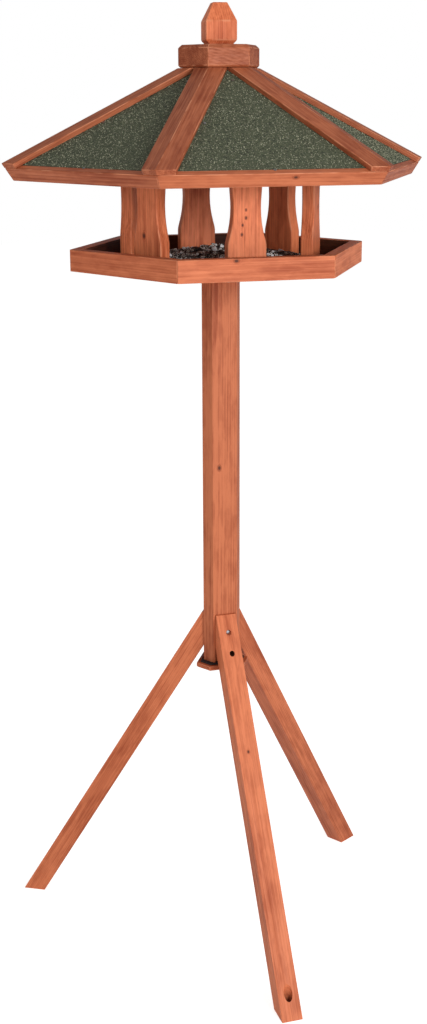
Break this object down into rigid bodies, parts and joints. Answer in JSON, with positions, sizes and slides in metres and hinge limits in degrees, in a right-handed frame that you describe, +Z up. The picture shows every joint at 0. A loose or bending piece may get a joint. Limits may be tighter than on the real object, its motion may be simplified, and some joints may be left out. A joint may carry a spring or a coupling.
{
  "type": "bird feeder on pole",
  "caption": "Free-standing wooden bird feeder: hexagonal tray and posts under a felted hipped roof with cap and finial, on a pole with three splayed legs.",
  "frame": {"origin": "on the ground, in the middle of the bounding box; the pole's axis stands 34.4 mm behind it, at x 0", "axes": "+Z up along the pole, -Y towards the front face of the tray and roof, +X to the right as seen from the front"},
  "size_m": [0.6456, 0.628, 1.4576],
  "materials": {
    "stained_pine": "translucent red-brown outdoor stain over planed softwood",
    "black_stained_board": "near-black stain, matt, on the board under the feed",
    "roof_plywood": "stained thin plywood under the roofing felt",
    "green_mineral_felt": "dark grey-green mineral surfaced roofing felt",
    "black_rubber": "black, matt",
    "zinc_plated_steel": "bright zinc plate"
  },
  "bodies": {
    "root": {"apex_block": "stained_pine", "eave_board_back": "stained_pine", "eave_board_back_left": "stained_pine", "eave_board_back_right": "stained_pine", "eave_board_front": "stained_pine", "eave_board_front_left": "stained_pine", "eave_board_front_right": "stained_pine", "finial": "stained_pine", "finial_bolt": "zinc_plated_steel", "head_plate": "stained_pine", "hip_batten_back_left": "stained_pine", "hip_batten_back_right": "stained_pine", "hip_batten_front_left": "stained_pine", "hip_batten_front_right": "stained_pine", "hip_batten_left": "stained_pine", "hip_batten_right": "stained_pine", "hub_pad": "black_rubber", "hub_plate": "stained_pine", "hub_screw": "zinc_plated_steel", "leg_front": "stained_pine", "leg_left": "stained_pine", "leg_right": "stained_pine", "leg_screw_lower_front": "zinc_plated_steel", "leg_screw_lower_left": "zinc_plated_steel", "leg_screw_lower_right": "zinc_plated_steel", "leg_screw_upper_front": "zinc_plated_steel", "leg_screw_upper_left": "zinc_plated_steel", "leg_screw_upper_right": "zinc_plated_steel", "pole": "stained_pine", "pole_head_screw": "zinc_plated_steel", "post_back": "stained_pine", "post_back_left": "stained_pine", "post_back_right": "stained_pine", "post_front": "stained_pine", "post_front_left": "stained_pine", "post_front_right": "stained_pine", "roof_cap": "stained_pine", "roof_felt_back": "green_mineral_felt", "roof_felt_back_left": "green_mineral_felt", "roof_felt_back_right": "green_mineral_felt", "roof_felt_front": "green_mineral_felt", "roof_felt_front_left": "green_mineral_felt", "roof_felt_front_right": "green_mineral_felt", "roof_panel_back": "roof_plywood", "roof_panel_back_left": "roof_plywood", "roof_panel_back_right": "roof_plywood", "roof_panel_front": "roof_plywood", "roof_panel_front_left": "roof_plywood", "roof_panel_front_right": "roof_plywood", "tray_floor": "black_stained_board", "tray_rim_back": "stained_pine", "tray_rim_back_left": "stained_pine", "tray_rim_back_right": "stained_pine", "tray_rim_front": "stained_pine", "tray_rim_front_left": "stained_pine", "tray_rim_front_right": "stained_pine", "tray_screw_front": "zinc_plated_steel", "tray_screw_left": "zinc_plated_steel", "tray_screw_right": "zinc_plated_steel"}
  },
  "joints": []
}
